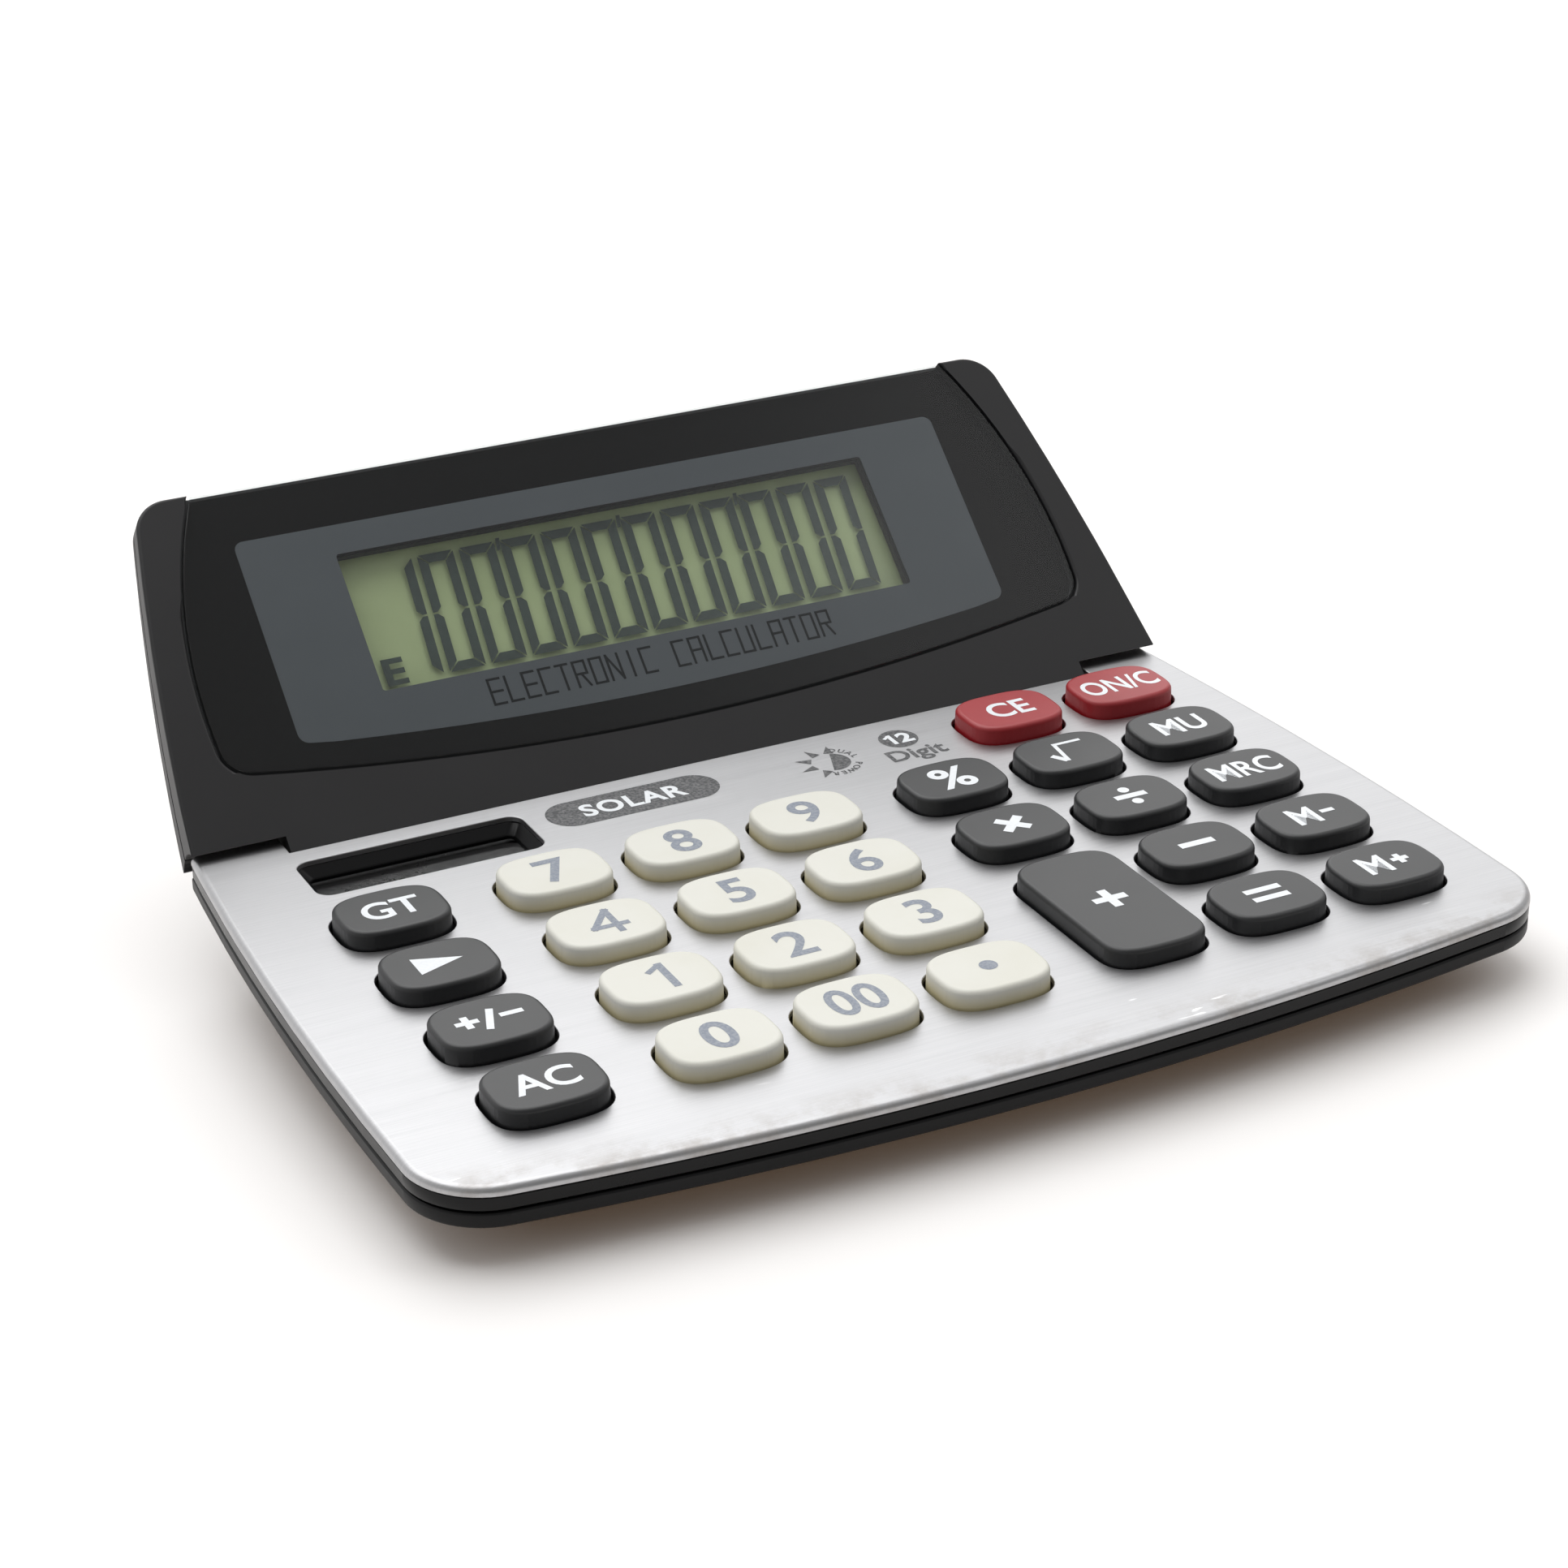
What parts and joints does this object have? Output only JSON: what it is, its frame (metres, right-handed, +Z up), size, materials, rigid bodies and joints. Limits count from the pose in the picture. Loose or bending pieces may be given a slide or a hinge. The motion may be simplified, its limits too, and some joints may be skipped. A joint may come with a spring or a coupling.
{
  "type": "desk calculator",
  "caption": "Desk calculator: a wedge base with a brushed metal face, rounded keys and a solar window, and a wide display head that tilts about a barrel hinge.",
  "frame": {"origin": "on the desk surface, at the centre of the object's outline", "axes": "+X to the user's right along the hinge, +Y away from the user, +Z up"},
  "size_m": [0.1492, 0.1308, 0.0534],
  "materials": {
    "brushed_face_plate": "brushed across, thin lacquer",
    "frame_black": "fine moulded satin",
    "case_black": "fine spark texture",
    "head_black": "fine spark texture",
    "key_dark": "satin, printed white legends",
    "key_ivory": "satin, printed grey legends",
    "key_red": "satin, printed white legends",
    "mat_silicone": "matte",
    "carbon_rubber": "matte",
    "board_phenolic": "phenolic laminate",
    "board_green": "solder resist",
    "epoxy_black": "cast epoxy",
    "capacitor_sleeve": "shrink sleeve",
    "window_clear": "clear, slightly smoked",
    "solar_glass": "amorphous silicon on glass",
    "cell_steel": "nickel plated",
    "contact_brass": "plated spring strip",
    "screw_steel": "zinc plated",
    "foot_rubber": "matte",
    "ribbon_film": "polyimide film",
    "lens_acrylic": "clear with printed border",
    "lcd_glass": "polarised glass",
    "reflector_foil": "satin foil"
  },
  "bodies": {
    "base": {"face_plate": "brushed_face_plate", "upper_frame": "frame_black", "lower_case": "case_black", "key_mat": "mat_silicone", "carbon_pills": "carbon_rubber", "main_board": "board_phenolic", "chip_blob": "epoxy_black", "capacitor": "capacitor_sleeve", "solar_window": "window_clear", "solar_cell": "solar_glass", "button_cell": "cell_steel", "cell_contacts": "contact_brass", "battery_cover": "case_black", "battery_cover_screw": "screw_steel", "case_screws": "screw_steel", "rubber_feet": "foot_rubber", "hinge_pins": "screw_steel", "friction_washers": "contact_brass", "ribbon_lower": "ribbon_film"},
    "head": {"head_front_shell": "head_black", "head_back_shell": "head_black", "display_lens": "lens_acrylic", "lcd_bezel": "head_black", "lcd_front_glass": "lcd_glass", "lcd_rear_glass": "lcd_glass", "lcd_reflector": "reflector_foil", "zebra_strip": "carbon_rubber", "display_board": "board_green", "head_screws": "screw_steel", "ribbon_upper": "ribbon_film"},
    "key_gt": {"key_gt": "key_dark"},
    "key_backspace": {"key_backspace": "key_dark"},
    "key_sign": {"key_sign": "key_dark"},
    "key_ac": {"key_ac": "key_dark"},
    "key_7": {"key_7": "key_ivory"},
    "key_4": {"key_4": "key_ivory"},
    "key_1": {"key_1": "key_ivory"},
    "key_0": {"key_0": "key_ivory"},
    "key_8": {"key_8": "key_ivory"},
    "key_5": {"key_5": "key_ivory"},
    "key_2": {"key_2": "key_ivory"},
    "key_00": {"key_00": "key_ivory"},
    "key_9": {"key_9": "key_ivory"},
    "key_6": {"key_6": "key_ivory"},
    "key_3": {"key_3": "key_ivory"},
    "key_point": {"key_point": "key_ivory"},
    "key_percent": {"key_percent": "key_dark"},
    "key_times": {"key_times": "key_dark"},
    "key_plus": {"key_plus": "key_dark"},
    "key_ce": {"key_ce": "key_red"},
    "key_root": {"key_root": "key_dark"},
    "key_divide": {"key_divide": "key_dark"},
    "key_minus": {"key_minus": "key_dark"},
    "key_equals": {"key_equals": "key_dark"},
    "key_on": {"key_on": "key_red"},
    "key_mu": {"key_mu": "key_dark"},
    "key_mrc": {"key_mrc": "key_dark"},
    "key_m_minus": {"key_m_minus": "key_dark"},
    "key_m_plus": {"key_m_plus": "key_dark"}
  },
  "joints": [
    {"name": "head_tilt", "type": "hinge", "parent": "base", "child": "head", "pos_m": [0, 0.0281, 0.01273], "axis": [1, 0, 0], "range_deg": [-38, 18]},
    {"name": "key_gt_press", "type": "slide", "parent": "base", "child": "key_gt", "axis": [0, -0.0698, 0.9976], "range_m": [-0.0012, 0], "stiffness_N_per_m": 450, "deforming": ["key_mat"]},
    {"name": "key_backspace_press", "type": "slide", "parent": "base", "child": "key_backspace", "axis": [0, -0.0698, 0.9976], "range_m": [-0.0012, 0], "stiffness_N_per_m": 450, "deforming": ["key_mat"]},
    {"name": "key_sign_press", "type": "slide", "parent": "base", "child": "key_sign", "axis": [0, -0.0698, 0.9976], "range_m": [-0.0012, 0], "stiffness_N_per_m": 450, "deforming": ["key_mat"]},
    {"name": "key_ac_press", "type": "slide", "parent": "base", "child": "key_ac", "axis": [0, -0.0698, 0.9976], "range_m": [-0.0012, 0], "stiffness_N_per_m": 450, "deforming": ["key_mat"]},
    {"name": "key_7_press", "type": "slide", "parent": "base", "child": "key_7", "axis": [0, -0.0698, 0.9976], "range_m": [-0.0012, 0], "stiffness_N_per_m": 450, "deforming": ["key_mat"]},
    {"name": "key_4_press", "type": "slide", "parent": "base", "child": "key_4", "axis": [0, -0.0698, 0.9976], "range_m": [-0.0012, 0], "stiffness_N_per_m": 450, "deforming": ["key_mat"]},
    {"name": "key_1_press", "type": "slide", "parent": "base", "child": "key_1", "axis": [0, -0.0698, 0.9976], "range_m": [-0.0012, 0], "stiffness_N_per_m": 450, "deforming": ["key_mat"]},
    {"name": "key_0_press", "type": "slide", "parent": "base", "child": "key_0", "axis": [0, -0.0698, 0.9976], "range_m": [-0.0012, 0], "stiffness_N_per_m": 450, "deforming": ["key_mat"]},
    {"name": "key_8_press", "type": "slide", "parent": "base", "child": "key_8", "axis": [0, -0.0698, 0.9976], "range_m": [-0.0012, 0], "stiffness_N_per_m": 450, "deforming": ["key_mat"]},
    {"name": "key_5_press", "type": "slide", "parent": "base", "child": "key_5", "axis": [0, -0.0698, 0.9976], "range_m": [-0.0012, 0], "stiffness_N_per_m": 450, "deforming": ["key_mat"]},
    {"name": "key_2_press", "type": "slide", "parent": "base", "child": "key_2", "axis": [0, -0.0698, 0.9976], "range_m": [-0.0012, 0], "stiffness_N_per_m": 450, "deforming": ["key_mat"]},
    {"name": "key_00_press", "type": "slide", "parent": "base", "child": "key_00", "axis": [0, -0.0698, 0.9976], "range_m": [-0.0012, 0], "stiffness_N_per_m": 450, "deforming": ["key_mat"]},
    {"name": "key_9_press", "type": "slide", "parent": "base", "child": "key_9", "axis": [0, -0.0698, 0.9976], "range_m": [-0.0012, 0], "stiffness_N_per_m": 450, "deforming": ["key_mat"]},
    {"name": "key_6_press", "type": "slide", "parent": "base", "child": "key_6", "axis": [0, -0.0698, 0.9976], "range_m": [-0.0012, 0], "stiffness_N_per_m": 450, "deforming": ["key_mat"]},
    {"name": "key_3_press", "type": "slide", "parent": "base", "child": "key_3", "axis": [0, -0.0698, 0.9976], "range_m": [-0.0012, 0], "stiffness_N_per_m": 450, "deforming": ["key_mat"]},
    {"name": "key_point_press", "type": "slide", "parent": "base", "child": "key_point", "axis": [0, -0.0698, 0.9976], "range_m": [-0.0012, 0], "stiffness_N_per_m": 450, "deforming": ["key_mat"]},
    {"name": "key_percent_press", "type": "slide", "parent": "base", "child": "key_percent", "axis": [0, -0.0698, 0.9976], "range_m": [-0.0012, 0], "stiffness_N_per_m": 450, "deforming": ["key_mat"]},
    {"name": "key_times_press", "type": "slide", "parent": "base", "child": "key_times", "axis": [0, -0.0698, 0.9976], "range_m": [-0.0012, 0], "stiffness_N_per_m": 450, "deforming": ["key_mat"]},
    {"name": "key_plus_press", "type": "slide", "parent": "base", "child": "key_plus", "axis": [0, -0.0698, 0.9976], "range_m": [-0.0012, 0], "stiffness_N_per_m": 450, "deforming": ["key_mat"]},
    {"name": "key_ce_press", "type": "slide", "parent": "base", "child": "key_ce", "axis": [0, -0.0698, 0.9976], "range_m": [-0.0012, 0], "stiffness_N_per_m": 450, "deforming": ["key_mat"]},
    {"name": "key_root_press", "type": "slide", "parent": "base", "child": "key_root", "axis": [0, -0.0698, 0.9976], "range_m": [-0.0012, 0], "stiffness_N_per_m": 450, "deforming": ["key_mat"]},
    {"name": "key_divide_press", "type": "slide", "parent": "base", "child": "key_divide", "axis": [0, -0.0698, 0.9976], "range_m": [-0.0012, 0], "stiffness_N_per_m": 450, "deforming": ["key_mat"]},
    {"name": "key_minus_press", "type": "slide", "parent": "base", "child": "key_minus", "axis": [0, -0.0698, 0.9976], "range_m": [-0.0012, 0], "stiffness_N_per_m": 450, "deforming": ["key_mat"]},
    {"name": "key_equals_press", "type": "slide", "parent": "base", "child": "key_equals", "axis": [0, -0.0698, 0.9976], "range_m": [-0.0012, 0], "stiffness_N_per_m": 450, "deforming": ["key_mat"]},
    {"name": "key_on_press", "type": "slide", "parent": "base", "child": "key_on", "axis": [0, -0.0698, 0.9976], "range_m": [-0.0012, 0], "stiffness_N_per_m": 450, "deforming": ["key_mat"]},
    {"name": "key_mu_press", "type": "slide", "parent": "base", "child": "key_mu", "axis": [0, -0.0698, 0.9976], "range_m": [-0.0012, 0], "stiffness_N_per_m": 450, "deforming": ["key_mat"]},
    {"name": "key_mrc_press", "type": "slide", "parent": "base", "child": "key_mrc", "axis": [0, -0.0698, 0.9976], "range_m": [-0.0012, 0], "stiffness_N_per_m": 450, "deforming": ["key_mat"]},
    {"name": "key_m_minus_press", "type": "slide", "parent": "base", "child": "key_m_minus", "axis": [0, -0.0698, 0.9976], "range_m": [-0.0012, 0], "stiffness_N_per_m": 450, "deforming": ["key_mat"]},
    {"name": "key_m_plus_press", "type": "slide", "parent": "base", "child": "key_m_plus", "axis": [0, -0.0698, 0.9976], "range_m": [-0.0012, 0], "stiffness_N_per_m": 450, "deforming": ["key_mat"]}
  ]
}
